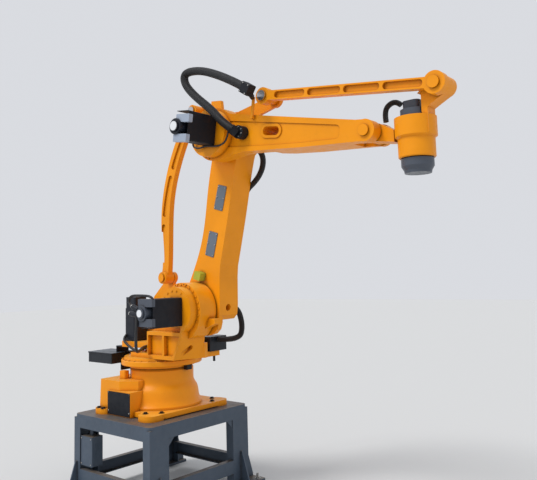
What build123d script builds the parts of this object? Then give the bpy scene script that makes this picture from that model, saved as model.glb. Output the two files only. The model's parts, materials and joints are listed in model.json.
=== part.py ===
from build123d import *
import math
import os

# Frame: Z up, X along the arm, origin on the turning axis at floor level.

# Stand
stand_height = 610.0
plate_x = 920.0
plate_y = 1015.0
plate_t = 25.0
plate_corner_r = 45.0
leg_x = 75.0
leg_y = 175.0
leg_wall = 9.0
rail_depth = 48.0
upper_rail_h = 76.0
low_rail_h = 100.0
low_rail_top = 200.0
rail_wall = 6.0
foot_t = 20.0
foot_margin = 95.0
anchor_d = 22.0
anchor_out = 50.0
gusset_t = 12.0
gusset_h = 235.0
gusset_w = 85.0
gusset_toe = 20.0
top_gusset = 60.0
stand_gap = 0.2

# Turning base
foot_x = 700.0
foot_y = 845.0
foot_h = 42.0
foot_corner_r = 120.0
pad_h = 8.0
pad_x = 170.0
pad_y = 180.0
bell_r = 315.0
bell_shoulder_r = 268.0
neck_r = 252.0
base_h = 338.0
block_x0 = -326.0
block_x1 = -60.0
block_face = -376.0
block_lean = 12.0
block_drop = 80.0
box_x0 = -190.0
box_x1 = 89.0
box_face = -388.0
box_h = 186.0
bore_r = 85.0
turn_gap = 6.0

# Turret
ring_r = 322.0
ring_h = 40.0
ring_step = 22.0
ledge_z = 1148.0
ledge_t = 46.0
shelf_z = 1215.0
axis2_x = 424.0
axis2_z = 1403.0
drum_r = 206.0
drum_front = -165.0
hub_r = 176.0
hub_front = -235.0
wall_right = 500.0
wall_left = 101.0
rear_y = 230.0
motor1_x = -200.0
motor1_y = -100.0
motor1_w = 150.0
motor1_h = 352.0

# Lower arm
arm_len = 1350.0
arm_lean = 16.08
arm_front = 10.0
arm_back = 212.0
arm_disc_r = 206.0
arm_disc_back = 52.0
arm_head_r = 150.0
head_recess = 22.0
head_recess_r = 172.0
seat_depth = 50.0
shaft2_r = 110.0
shaft3_r = 80.0

# Upper arm
fore_len = 1300.0
fore_droop = 8.27
fore_front = -150.0
fore_back = 100.0
fore_back_start = 470.0
elbow_r = 198.0
elbow_back = -34.0
elbow_hub_r = 176.0
elbow_hub_front = -225.0
tip_r = 70.0
panel_depth = 8.0
rail_round = 30.0

# Rocker and rods
c_dx = 467.0
c_dz = 202.5
b_dx = -298.0
b_dz = 247.0
rocker_front = -2.0
rocker_back = 26.0
link_front = -98.0
link_back = -8.0
link_web_front = -72.0
link_web_back = -26.0
link_eye_r = 47.0
link_pocket = 14.0
rod_front = -140.0
rod_back = -80.0
rod_h = 66.0
rod_eye_r = 60.0
pin_r = 22.0
pin_cap = 8.0
pin_cap_r = 36.0
pin_fit = 0.05
side_gap = 6.0

# Wrist
lug_half = 60.0
wrist_pin_r = 25.0
tool_x = 270.0
bucket_r = 127.0
bucket_wall = 14.0
bucket_top = 50.0
bucket_step = -72.0
bucket_low_r = 112.0
bucket_low = -195.0
flange_drop = -287.0
flange_r = 98.0
tool_bolt_r = 62.5

lean = math.radians(arm_lean)
droop = math.radians(fore_droop)
base_top = stand_height + base_h
elbow_x = axis2_x + arm_len * math.sin(lean)
elbow_z = axis2_z + arm_len * math.cos(lean)
wrist_x = elbow_x + fore_len * math.cos(droop)
wrist_z = elbow_z - fore_len * math.sin(droop)
pin_a = (axis2_x + b_dx, axis2_z + b_dz)
pin_b = (elbow_x + b_dx, elbow_z + b_dz)
pin_c = (elbow_x + c_dx, elbow_z + c_dz)
pin_d = (wrist_x + c_dx, wrist_z + c_dz)
tool_axis_x = wrist_x + tool_x
plate_bottom = stand_height - plate_t
leg_cx = plate_x / 2 - leg_x / 2
leg_cy = plate_y / 2 - leg_y / 2
corners = [(sx, sy) for sx in (-1, 1) for sy in (-1, 1)]


def side(x, y, z, angle=0.0):
    """Drawing plane with local x at the given angle above +X and normal towards -Y."""
    a = math.radians(angle)
    return Plane(origin=(x, y, z), x_dir=(math.cos(a), 0, math.sin(a)), z_dir=(0, -1, 0))


def save(piece, label):
    piece.part.label = label
    export_step(piece.part, "parts/" + label + ".step")


def cyl_y(x, z, radius, y0, y1):
    """Round bar along Y from y0 to y1."""
    with BuildSketch(side(x, y1, z)) as disc:
        Circle(radius)
    extrude(disc.sketch, amount=y1 - y0)


def cut_y(x, z, radius, y0, y1):
    """Round hole along Y from y0 to y1."""
    with BuildSketch(side(x, y1, z)) as disc:
        Circle(radius)
    extrude(disc.sketch, amount=y1 - y0, mode=Mode.SUBTRACT)


def slab_y(points, y0, y1, mode=Mode.ADD):
    """Flat piece with an outline in the side view, from y0 to y1."""
    with BuildSketch(side(0, y1, 0)) as outline:
        with BuildLine():
            Polyline(*points, close=True)
        make_face()
    extrude(outline.sketch, amount=y1 - y0, mode=mode)


def block(x0, x1, y0, y1, z0, z1, corner=0.0):
    """Upright box between limits, with rounded corners when asked."""
    with BuildSketch(Plane.XY.offset(z0)) as base_face:
        with Locations(((x0 + x1) / 2, (y0 + y1) / 2)):
            if corner > 0:
                RectangleRounded(x1 - x0, y1 - y0, corner)
            else:
                Rectangle(x1 - x0, y1 - y0)
    extrude(base_face.sketch, amount=z1 - z0)


def hose(points, radius, bend):
    """Round hose along straight runs joined by arcs."""
    with BuildLine() as path:
        FilletPolyline(*points, radius=bend)
    with BuildSketch(Plane(origin=path.line @ 0, z_dir=path.line % 0)) as section:
        Circle(radius)
    sweep(section.sketch, path=path.line)
    return path.line


def shift(point, distance, angle):
    """Point at a distance from another in the side view."""
    a = math.radians(angle)
    return (point[0] + distance * math.cos(a), point[1] + distance * math.sin(a))


def near(point, dx, dz):
    """Point beside another in the side view."""
    return (point[0] + dx, point[1] + dz)


axis2 = (axis2_x, axis2_z)
elbow = (elbow_x, elbow_z)
os.makedirs("parts", exist_ok=True)

# Stand plate
with BuildPart() as stand_plate:
    with BuildSketch(Plane.XY.offset(plate_bottom)):
        RectangleRounded(plate_x, plate_y, plate_corner_r)
    extrude(amount=plate_t)
    fillet(stand_plate.faces().sort_by(Axis.Z)[-1].edges(), 3)
    with BuildSketch(Plane.XY.offset(plate_bottom)):
        Circle(bore_r + 5)
    extrude(amount=plate_t, mode=Mode.SUBTRACT)
save(stand_plate, "stand_top_plate")

# Stand legs, channel sections with the web outside
with BuildPart() as stand_legs:
    for sx, sy in corners:
        with BuildSketch(Plane.XY.offset(foot_t)):
            with Locations((sx * leg_cx, sy * leg_cy)):
                Rectangle(leg_x, leg_y)
            with Locations((sx * (leg_cx - leg_wall), sy * leg_cy)):
                Rectangle(leg_x, leg_y - 2 * leg_wall, mode=Mode.SUBTRACT)
        extrude(amount=plate_bottom - foot_t)
save(stand_legs, "stand_legs")


def channel(plane, height, depth, wall, length):
    """Channel bar with its web on the local y axis."""
    with BuildSketch(plane) as section:
        with Locations((depth / 2, 0)):
            Rectangle(depth, height)
        with Locations((depth / 2 + wall, 0)):
            Rectangle(depth, height - 2 * wall, mode=Mode.SUBTRACT)
    extrude(section.sketch, amount=length)


def rails(z_mid, height):
    """Four channel rails between the legs with the web outside."""
    long_y = plate_y - 2 * leg_y - 2 * stand_gap
    long_x = plate_x - 2 * leg_x - 2 * stand_gap
    for sx in (-1, 1):
        o = (sx * plate_x / 2, -long_y / 2, z_mid)
        channel(Plane(origin=o, x_dir=(-sx, 0, 0), z_dir=(0, 1, 0)), height, rail_depth, rail_wall, long_y)
    for sy in (-1, 1):
        o = (-long_x / 2, sy * plate_y / 2, z_mid)
        channel(Plane(origin=o, x_dir=(0, -sy, 0), z_dir=(1, 0, 0)), height, rail_depth, rail_wall, long_x)


with BuildPart() as upper_rails:
    rails(plate_bottom - upper_rail_h / 2, upper_rail_h)
save(upper_rails, "stand_upper_rails")

with BuildPart() as lower_rails:
    rails(low_rail_top - low_rail_h / 2, low_rail_h)
save(lower_rails, "stand_lower_rails")

# Foot plates with one anchor hole each, outside the leg
anchor_x = plate_x / 2 + anchor_out
anchor_y = plate_y / 2 + anchor_out
with BuildPart() as foot_plates:
    for sx, sy in corners:
        px = sx * (leg_cx + foot_margin / 2)
        py = sy * (leg_cy + foot_margin / 2)
        with BuildSketch():
            with Locations((px, py)):
                RectangleRounded(leg_x + foot_margin, leg_y + foot_margin, 8)
            with Locations((sx * anchor_x, sy * anchor_y)):
                Circle(anchor_d / 2, mode=Mode.SUBTRACT)
        extrude(amount=foot_t)
save(foot_plates, "stand_foot_plates")


def gusset_plate(plane):
    """Tapered foot gusset standing on the local x axis."""
    tip = gusset_w - 70
    with BuildSketch(plane) as outline:
        with BuildLine():
            Polyline((0, 0), (gusset_w, 0), (gusset_w, gusset_toe), (tip, gusset_h), (0, gusset_h), close=True)
        make_face()
    extrude(outline.sketch, amount=gusset_t / 2, both=True)


# Two foot gussets on each leg, and small ones inside the top corners
with BuildPart() as gussets:
    for sx, sy in corners:
        o = (sx * plate_x / 2, sy * leg_cy, foot_t)
        gusset_plate(Plane(origin=o, x_dir=(sx, 0, 0), z_dir=(0, -sx, 0)))
        o = (sx * leg_cx, sy * plate_y / 2, foot_t)
        gusset_plate(Plane(origin=o, x_dir=(0, sy, 0), z_dir=(sy, 0, 0)))
        o = (sx * (plate_x / 2 - rail_wall), sy * (plate_y / 2 - leg_y), plate_bottom - upper_rail_h)
        with BuildSketch(Plane(origin=o, x_dir=(0, -sy, 0), z_dir=(-sy, 0, 0))):
            with BuildLine():
                Polyline((0, 0), (top_gusset, 0), (0, -top_gusset), close=True)
            make_face()
        extrude(amount=sx * sy * rail_wall)
save(gussets, "stand_gussets")

# Junction box hung under the plate beside the leg
box_z0 = 232.0
box_z1 = 450.0
with BuildPart() as junction_box:
    block(-385, -235, -500, -400, box_z0, box_z1, 6)
    block(-325, -295, -455, -445, box_z1, plate_bottom)
save(junction_box, "stand_junction_box")

# Base casting
foot_top = stand_height + foot_h
foot_holes = ((foot_x / 2 - 50, foot_y / 2 - 160), (foot_x / 2 - 135, foot_y / 2 - 77))
with BuildPart() as base:
    block(-foot_x / 2, foot_x / 2, 70 - foot_y / 2, foot_y / 2 - 30, stand_height + pad_h, foot_top, foot_corner_r)
    with BuildSketch(Plane.XY.offset(stand_height)):
        with Locations([(sx * (foot_x - pad_x) / 2, sy * (foot_y - pad_y) / 2) for sx, sy in corners]):
            RectangleRounded(pad_x, pad_y, 70)
    extrude(amount=foot_h)
    with BuildSketch(Plane.XZ):
        with BuildLine():
            Polyline(
                (0, stand_height + pad_h),
                (bell_r, stand_height + pad_h),
                (bell_r, foot_top + 18),
            )
            Spline(
                (bell_r, foot_top + 18),
                (bell_r - 20, foot_top + 62),
                (bell_shoulder_r + 12, foot_top + 138),
                (neck_r + 2, foot_top + 186),
                (neck_r, foot_top + 205),
            )
            Polyline(
                (neck_r, foot_top + 205),
                (neck_r, base_top - 16),
                (neck_r - 16, base_top),
                (0, base_top),
                (0, stand_height + pad_h),
            )
        make_face()
    revolve(axis=Axis.Z)
    for z, lean_in in ((foot_top, 0), (base_top - block_drop, block_lean)):
        with BuildSketch(Plane.XY.offset(z)) as rear_block:
            with BuildLine():
                Polyline(
                    (block_x0 + lean_in, -40),
                    (block_x0 + lean_in, block_face),
                    (block_x1, block_face),
                    (block_x1 + 130, block_face + 80),
                    (block_x1 + 130, -40),
                    close=True,
                )
            make_face()
            fillet(rear_block.vertices().group_by(Axis.Y)[0], 24)
    loft()
    block(box_x0, box_x1, box_face, -60, stand_height + 2, foot_top + box_h - foot_h, 3)
    with BuildSketch(Plane.XY.offset(stand_height)):
        Circle(bore_r)
    extrude(amount=base_h, mode=Mode.SUBTRACT)
    with BuildSketch(Plane.XY.offset(stand_height)):
        with Locations([(sx * x, sy * y) for sx, sy in corners[1:] for x, y in foot_holes]):
            Circle(11)
        with Locations([(x, box_face - 12) for x in (box_x0 - 40, box_x0 - 98)]):
            Circle(11)
    extrude(amount=foot_h, mode=Mode.SUBTRACT)
save(base, "base_casting")

# Connector cover on the rear block
cover_mid = (stand_height + foot_top + box_h - foot_h) / 2
cover_h = box_h - 14
cover_w = box_x1 - box_x0 - 6
with BuildPart() as cover:
    with BuildSketch(side((box_x0 + box_x1) / 2, box_face, cover_mid)):
        RectangleRounded(cover_w, cover_h, 4)
    extrude(amount=4)
    with BuildSketch(side((box_x0 + box_x1) / 2, box_face - 4, cover_mid)):
        with Locations([(sx * (cover_w / 2 - 9), sy * (cover_h / 2 - 9)) for sx, sy in corners]):
            Circle(5)
    extrude(amount=3)
save(cover, "base_connector_cover")

# Turning stop on the base
stop_x = -147.0
stop_y = -262.0
stop_h = 62.0
with BuildPart() as stop:
    with BuildSketch(Plane.XY.offset(base_top - block_drop)):
        with Locations((stop_x, stop_y)):
            RectangleRounded(70, 50, 14)
    extrude(amount=stop_h)
    fillet(stop.faces().sort_by(Axis.Z)[-1].edges(), 4)
save(stop, "base_stop_stub")

# Turret
turret_bottom = base_top + turn_gap
ring_top = turret_bottom + 20 + ring_h
body_bottom = ring_top + ring_step
rear_top = axis2_z - 255.0
pocket_z0 = ring_top + 50.0
front_box_z0 = ring_top + 36.0
with BuildPart() as turret:
    with BuildSketch(Plane.XZ):
        with BuildLine():
            Polyline(
                (0, turret_bottom),
                (ring_r - 62, turret_bottom),
                (ring_r - 58, turret_bottom + 16),
                (ring_r - 5, turret_bottom + 20),
                (ring_r, turret_bottom + 26),
                (ring_r, ring_top - 4),
                (ring_r - 4, ring_top),
                (ring_r - 20, ring_top),
                (ring_r - 26, body_bottom),
                (0, body_bottom),
                close=True,
            )
        make_face()
    revolve(axis=Axis.Z)
    # Rear body under the arm
    with BuildSketch(Plane.XY.offset(body_bottom)):
        with BuildLine():
            Polyline(
                (wall_left, -60),
                (wall_right - 60, -60),
                (wall_right, 0),
                (wall_right - 8, 36),
                (330, 60),
                (290, 190),
                (120, rear_y),
                (-140, rear_y),
                (-215, 150),
                (-215, 0),
                (-150, -40),
                close=True,
            )
        make_face()
    extrude(amount=rear_top - body_bottom)
    block(-120, wall_left + 5, hub_front + 10, 60, ring_top - 2, ring_top + 56, 10)
    # Drum side, flowing down into the right wall
    with BuildSketch(side(0, 0, 0)):
        with Locations(axis2):
            Circle(drum_r)
        with BuildLine():
            Polyline(
                near(axis2, 0, 0),
                shift(axis2, drum_r, -15),
                near(axis2, 176, -118),
                near(axis2, 118, -190),
                (wall_right, shelf_z - 20),
                (wall_left, shelf_z - 20),
                (wall_left, shelf_z),
                shift(axis2, drum_r, 195),
                close=True,
            )
        make_face()
    extrude(amount=-drum_front)
    # Raised hub panel in front, with its slanting wall
    with BuildSketch(side(0, -10, 0)):
        with Locations(axis2):
            Circle(hub_r)
        with BuildLine():
            Polyline(
                near(axis2, 0, 0),
                shift(axis2, hub_r, 8),
                near(axis2, 122, -70),
                near(axis2, 84, -150),
                (wall_right, shelf_z),
                (wall_left, shelf_z),
                (wall_left, shelf_z + 30),
                shift(axis2, hub_r, 200),
                close=True,
            )
        make_face()
    extrude(amount=-10 - hub_front)
    # Right wall leaning in towards its foot
    for z, front_x, back_x in ((body_bottom, wall_right - 94, wall_right - 18), (shelf_z, wall_right, wall_right + 3)):
        with BuildSketch(Plane.XY.offset(z)):
            with BuildLine():
                Polyline((wall_left, hub_front), (front_x, hub_front), (back_x, 0), (wall_left, 0), close=True)
            make_face()
    loft()
    # Ribbed recesses under the shelf
    with BuildSketch(side(0, hub_front + 34, 0)):
        with BuildLine():
            Polyline(
                (wall_left + 14, pocket_z0),
                (wall_left + 14, shelf_z),
                (wall_left + 178, shelf_z),
                (wall_left + 178, pocket_z0),
                close=True,
            )
        make_face()
        with BuildLine():
            Polyline(
                (wall_left + 200, pocket_z0),
                (wall_left + 200, shelf_z),
                (wall_left + 372, shelf_z),
                (wall_left + 295, pocket_z0),
                close=True,
            )
        make_face()
    extrude(amount=60, mode=Mode.SUBTRACT)
    # Cavity above the shelf behind the motor
    with BuildSketch(side(0, hub_front + 60, 0)):
        with BuildLine():
            Polyline(
                (wall_left - 1, shelf_z + 26),
                (wall_left - 1, shelf_z + 60),
                near(axis2, -150, -60),
                near(axis2, -60, -128),
                near(axis2, 66, -120),
                near(axis2, 58, -162),
                close=True,
            )
        make_face()
    extrude(amount=80, mode=Mode.SUBTRACT)
    # Motor ledge
    block(motor1_x - motor1_w / 2 - 10, wall_left, motor1_y - motor1_w / 2 - 12, 60, ledge_z - ledge_t, ledge_z, 12)
    # Slanted slot in the right wall
    with BuildSketch(Plane(origin=(wall_right + 20, -146, ledge_z - 43), x_dir=(0, 1, 0), z_dir=(-1, 0, 0))):
        SlotOverall(100, 38, rotation=-35)
    extrude(amount=80, mode=Mode.SUBTRACT)
    # Stop lug beside the drum
    slab_y(
        [
            near(axis2, 147, -63),
            near(axis2, 264, -66),
            near(axis2, 263, -104),
            near(axis2, 240, -110),
            near(axis2, 114, -157),
        ],
        -76,
        -16,
    )
    # Bracket with the lower pin of the curved link
    bracket_y0 = link_back + side_gap
    slab_y(
        [
            near(pin_a, -44, 0),
            near(pin_a, -215, -150),
            (-215, rear_top - 10),
            (10, rear_top - 10),
            near(pin_a, -28, -150),
            near(pin_a, 44, 0),
        ],
        bracket_y0,
        bracket_y0 + 32,
    )
    cyl_y(pin_a[0], pin_a[1], 46, bracket_y0, bracket_y0 + 32)
    cyl_y(pin_a[0], pin_a[1], pin_r, link_front - pin_cap, bracket_y0)
    cyl_y(axis2_x, axis2_z, shaft2_r - pin_fit, 0, arm_front + seat_depth)
    # Box bracket at the front
    block(180, 330, 150, 330, front_box_z0 - 40, front_box_z0)
    with BuildSketch(Plane.XY.offset(base_top - 60)):
        Circle(bore_r - pin_fit)
    extrude(amount=80)
    with BuildSketch(Plane.XY.offset(base_top - 60)):
        Circle(60)
    extrude(amount=220, mode=Mode.SUBTRACT)
save(turret, "turret_casting")

# First axis motor
with BuildPart() as motor1:
    half = motor1_w / 2
    x0, x1 = motor1_x - half, motor1_x + half
    y0, y1 = motor1_y - half, motor1_y + half
    block(x0, x1, y0, y1, ledge_z, ledge_z + 22, 8)
    block(x0 + 6, x1 - 6, y0 + 6, y1 - 6, ledge_z + 22, ledge_z + motor1_h - 90, 24)
    block(x0 + 12, x1 - 12, y0 + 12, y1 - 12, ledge_z + motor1_h - 90, ledge_z + motor1_h, 18)
    block(x0 - 2, x0 + 30, motor1_y - 26, motor1_y + 26, ledge_z + motor1_h - 74, ledge_z + motor1_h - 26, 5)
save(motor1, "axis1_motor")

# Second axis motor with its guard, a folded sheet open to the rear
guard_open = 42.0
guard2_x = axis2_x - 4.0
guard2_z = axis2_z - 6.0
guard2_l = 275.0
end_block = 30.0
with BuildPart() as guard2:
    with BuildSketch(side(guard2_x, hub_front, guard2_z)):
        RectangleRounded(180, 208, 12)
        RectangleRounded(172, 200, 8, mode=Mode.SUBTRACT)
        with Locations((-guard_open - 50, 0)):
            Rectangle(100, 240, mode=Mode.SUBTRACT)
    extrude(amount=guard2_l)
save(guard2, "axis2_motor_guard")

motor2_end = hub_front - guard2_l - end_block - 22
with BuildPart() as motor2:
    cyl_y(axis2_x, axis2_z, 56, motor2_end + 12, hub_front)
    cyl_y(axis2_x, axis2_z, 38, motor2_end, motor2_end + 12)
    with BuildSketch(side(axis2_x, hub_front - guard2_l, axis2_z)):
        with Locations((33, 73), (33, -67)):
            RectangleRounded(155, 56, 5)
    extrude(amount=end_block)
save(motor2, "axis2_motor")

# Cable tray beside the ring, hung from the motor ledge
tray_x0 = -655.0
tray_x1 = -ring_r - 10
tray_y0 = -250.0
tray_y1 = -20.0
tray_z0 = ring_top - 49.0
tray_top = ring_top + 36.0
ledge_low = ledge_z - ledge_t
with BuildPart() as tray:
    block(tray_x0, tray_x1, tray_y0, tray_y1, tray_z0, tray_top - 10, 6)
    block(tray_x0 - 4, tray_x1 + 4, tray_y0 - 4, tray_y1 + 4, tray_top - 10, tray_top, 6)
    block(tray_x1 - 14, tray_x1 - 4, tray_y0 + 100, tray_y1, tray_z0 - 60, tray_z0)
    block(tray_x1 - 60, motor1_x - 40, motor1_y - 60, motor1_y + 60, ledge_low - 8, ledge_low)
    block(tray_x1 - 60, tray_x1 - 50, motor1_y - 60, motor1_y + 60, tray_top, ledge_low - 8)
save(tray, "rear_cable_tray")

# Cable box at the front below the arm
with BuildPart() as front_box:
    block(235, 340, arm_back, arm_back + 193, front_box_z0, front_box_z0 + 115, 6)
    block(246, 262, arm_back + 124, arm_back + 136, front_box_z0 - 94, front_box_z0)
save(front_box, "front_cable_box")

# Hose from the front cable box into the lower arm, on the axis it turns about
cable_r = 22.0
front_hose_y = arm_back + 98.0
socket_floor = arm_back + 20.0
with BuildPart() as front_hose:
    hose(
        [
            (340, front_hose_y, front_box_z0 + 90),
            (axis2_x + 151, front_hose_y, front_box_z0 + 90),
            (axis2_x + 191, front_hose_y, axis2_z - 141),
            (axis2_x + 136, front_hose_y, axis2_z),
            (axis2_x, front_hose_y, axis2_z),
            (axis2_x, socket_floor + 4, axis2_z),
        ],
        cable_r,
        [70, 150, 60, 45],
    )
save(front_hose, "front_hose")

# Lower arm
arm_angle = 90 - arm_lean
socket_end = 60.0
socket_h = 42.0
head_tilt = math.radians(30)
head_end = shift(elbow, arm_head_r + 6, -30)
head_end_y = 150.0
with BuildPart() as lower_arm:
    with BuildSketch(side(axis2_x, arm_back, axis2_z, arm_angle)):
        with Locations((arm_len, 0)):
            Circle(arm_head_r)
        with BuildLine():
            Spline(
                (0, 190),
                (arm_len * 0.19, 128),
                (arm_len * 0.355, 96),
                (arm_len * 0.5, 100),
                (arm_len * 0.667, 126),
                (arm_len * 0.83, 142),
                (arm_len, 145),
            )
            Line((arm_len, 145), (arm_len, -120))
            Spline((arm_len, -120), (arm_len * 0.83, -112), (arm_len * 0.667, -126), (arm_len * 0.444, -140), (380, -146))
            Line((380, -146), (0, 190))
        make_face()
    extrude(amount=arm_back - arm_front)
    slab_y(
        [
            near(axis2, 245.6, 324.8),
            near(axis2, 238, 240),
            near(axis2, 234, 20),
            near(axis2, 224, -48),
            near(axis2, 190, -82),
            near(axis2, 130, -90),
            near(axis2, -140, -90),
            near(axis2, -190, -40),
            near(axis2, -183, 52),
        ],
        arm_front,
        arm_back,
    )
    slab_y(
        [
            near(axis2, 150, 150),
            near(axis2, 222, 120),
            near(axis2, 222, -100),
            near(axis2, 206, -150),
            near(axis2, 166, -184),
            near(axis2, 100, -202),
            near(axis2, 0, -arm_disc_r),
        ],
        arm_front,
        arm_disc_back,
    )
    cyl_y(axis2_x, axis2_z, arm_disc_r, arm_front, arm_disc_back)
    cut_y(elbow_x, elbow_z, head_recess_r, arm_front, arm_front + head_recess)
    cut_y(axis2_x, axis2_z, shaft2_r, arm_front, arm_front + seat_depth)
    cut_y(elbow_x, elbow_z, shaft3_r + pin_fit, arm_front, arm_front + head_recess + seat_depth)
    # Hose sockets behind the arm, at its foot and on its head
    with BuildSketch(side(axis2_x, arm_back + socket_h, axis2_z, arm_angle)):
        with Locations((socket_end / 2 - 20, 0)):
            RectangleRounded(socket_end + 40, 80, 12)
    extrude(amount=socket_h)
    cut_y(axis2_x, axis2_z, cable_r + pin_fit, socket_floor, arm_back + socket_h)
    with BuildSketch(Plane(origin=(head_end[0], head_end_y, head_end[1]), z_dir=(-1, 0, math.tan(head_tilt)))):
        Circle(cable_r + 8)
    extrude(amount=40)
    # Access hole in the front face
    with BuildSketch(Plane(origin=(axis2_x + 260, 105, axis2_z + 8), x_dir=(0, 1, 0), z_dir=(-1, 0, 0))):
        Circle(26)
    extrude(amount=80, mode=Mode.SUBTRACT)
save(lower_arm, "lower_arm_casting")

with BuildPart() as covers:
    with BuildSketch(side(axis2_x, arm_front, axis2_z, arm_angle)):
        with Locations((arm_len * 0.385, -18), (arm_len * 0.655, -22)):
            RectangleRounded(190, 92, 6)
    extrude(amount=4)
save(covers, "lower_arm_covers")

with BuildPart() as bumper:
    with BuildSketch(side(axis2_x, arm_front, axis2_z, arm_angle)):
        with Locations((258, 20)):
            RectangleRounded(62, 70, 5)
    extrude(amount=60)
save(bumper, "lower_arm_bumper")

# Hose behind the lower arm
arm_hose_y = arm_back + cable_r
hose_foot = shift(axis2, socket_end, arm_angle)
hose_top = shift(axis2, arm_len * 0.667, arm_angle)
head_turn = shift(elbow, arm_head_r + 112, -30)
with BuildPart() as arm_hose:
    hose(
        [
            (hose_foot[0], arm_hose_y, hose_foot[1]),
            (hose_top[0], arm_hose_y, hose_top[1]),
            (elbow_x + 120, arm_hose_y, elbow_z - 290),
            (head_turn[0], head_end_y, head_turn[1]),
            (head_end[0], head_end_y, head_end[1]),
        ],
        cable_r,
        [150, 60, 50],
    )
save(arm_hose, "lower_arm_hose")

# Curved link, an I-section with round eyes
link_len = arm_len
with BuildPart() as link:
    with BuildSketch(side(pin_a[0], link_web_back, pin_a[1], arm_angle)):
        with BuildLine():
            Spline(
                (-20, 40),
                (link_len * 0.062, 46),
                (link_len * 0.284, 145),
                (link_len * 0.476, 193),
                (link_len * 0.66, 188),
                (link_len * 0.828, 145),
                (link_len + 20, 40),
            )
            Line((link_len + 20, 40), (link_len, -30))
            Spline(
                (link_len, -30),
                (link_len * 0.828, 47),
                (link_len * 0.66, 90),
                (link_len * 0.476, 96),
                (link_len * 0.284, 47),
                (0, -40),
            )
            Line((0, -40), (-20, 40))
        make_face()
    extrude(amount=link_web_back - link_web_front)
    # Pockets on the outer face between round bosses
    pocket_front = link_web_front + link_pocket
    stations = (0.1, 0.29, 0.365, 0.585, 0.655, 0.88)
    for i in (0, 2, 4):
        with BuildSketch(side(pin_a[0], pocket_front, pin_a[1], arm_angle)):
            s0, s1 = stations[i] * link_len, stations[i + 1] * link_len
            for s in [s0 + (s1 - s0) * k / 6 for k in range(7)]:
                u = s / link_len
                with Locations((s, 4 * 150 * u * (1 - u) - 4)):
                    Circle(22)
            with BuildLine():
                low = [(s, 600 * s / link_len * (1 - s / link_len) - 26) for s in (s0, (s0 + s1) / 2, s1)]
                high = [(p[0], p[1] + 44) for p in reversed(low)]
                Spline(*low)
                Line(low[2], high[0])
                Spline(*high)
                Line(high[2], low[0])
            make_face()
        extrude(amount=60, mode=Mode.SUBTRACT)
    for eye in (pin_a, pin_b):
        cyl_y(eye[0], eye[1], link_eye_r, link_front, link_back)
        cut_y(eye[0], eye[1], pin_r + pin_fit, link_front, link_back)
save(link, "curved_link")

# Rocker at the elbow
with BuildPart() as rocker:
    slab_y(
        [
            near(pin_b, 10, 46),
            near(elbow, -178, 288),
            near(elbow, -174, 316),
            near(elbow, -72, 302),
            near(elbow, -62, 226),
            near(elbow, 10, 186),
            near(elbow, 110, 178),
            near(elbow, 300, 212),
            near(pin_c, -20, 54),
            near(pin_c, 0, -54),
            near(elbow, 330, 118),
            near(elbow, 140, 40),
            near(elbow, 60, -115),
            near(elbow, -70, -110),
            near(elbow, -118, 50),
            near(elbow, -120, 114),
            near(pin_b, -30, -36),
        ],
        rocker_front,
        rocker_back,
    )
    cyl_y(elbow_x, elbow_z, 132, rocker_front, rocker_back)
    for eye, radius in ((pin_b, link_eye_r), (pin_c, rod_eye_r)):
        cyl_y(eye[0], eye[1], radius, rocker_front, rocker_back)
    cyl_y(pin_c[0], pin_c[1], 42, rod_back + side_gap, rocker_front)
    cut_y(elbow_x, elbow_z, shaft3_r + pin_fit, rocker_front, rocker_back)
save(rocker, "rocker_plate")

with BuildPart() as rocker_pins:
    cyl_y(pin_c[0], pin_c[1], pin_r, rod_front - pin_cap, rod_back + side_gap)
    cyl_y(pin_c[0], pin_c[1], pin_cap_r, rod_front - 2 * pin_cap, rod_front - pin_cap)
    cyl_y(pin_b[0], pin_b[1], pin_r, link_front - pin_cap, link_back + side_gap)
    cyl_y(pin_b[0], pin_b[1], pin_cap_r - 6, link_front - 2 * pin_cap, link_front - pin_cap)
save(rocker_pins, "rocker_pins")

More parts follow.
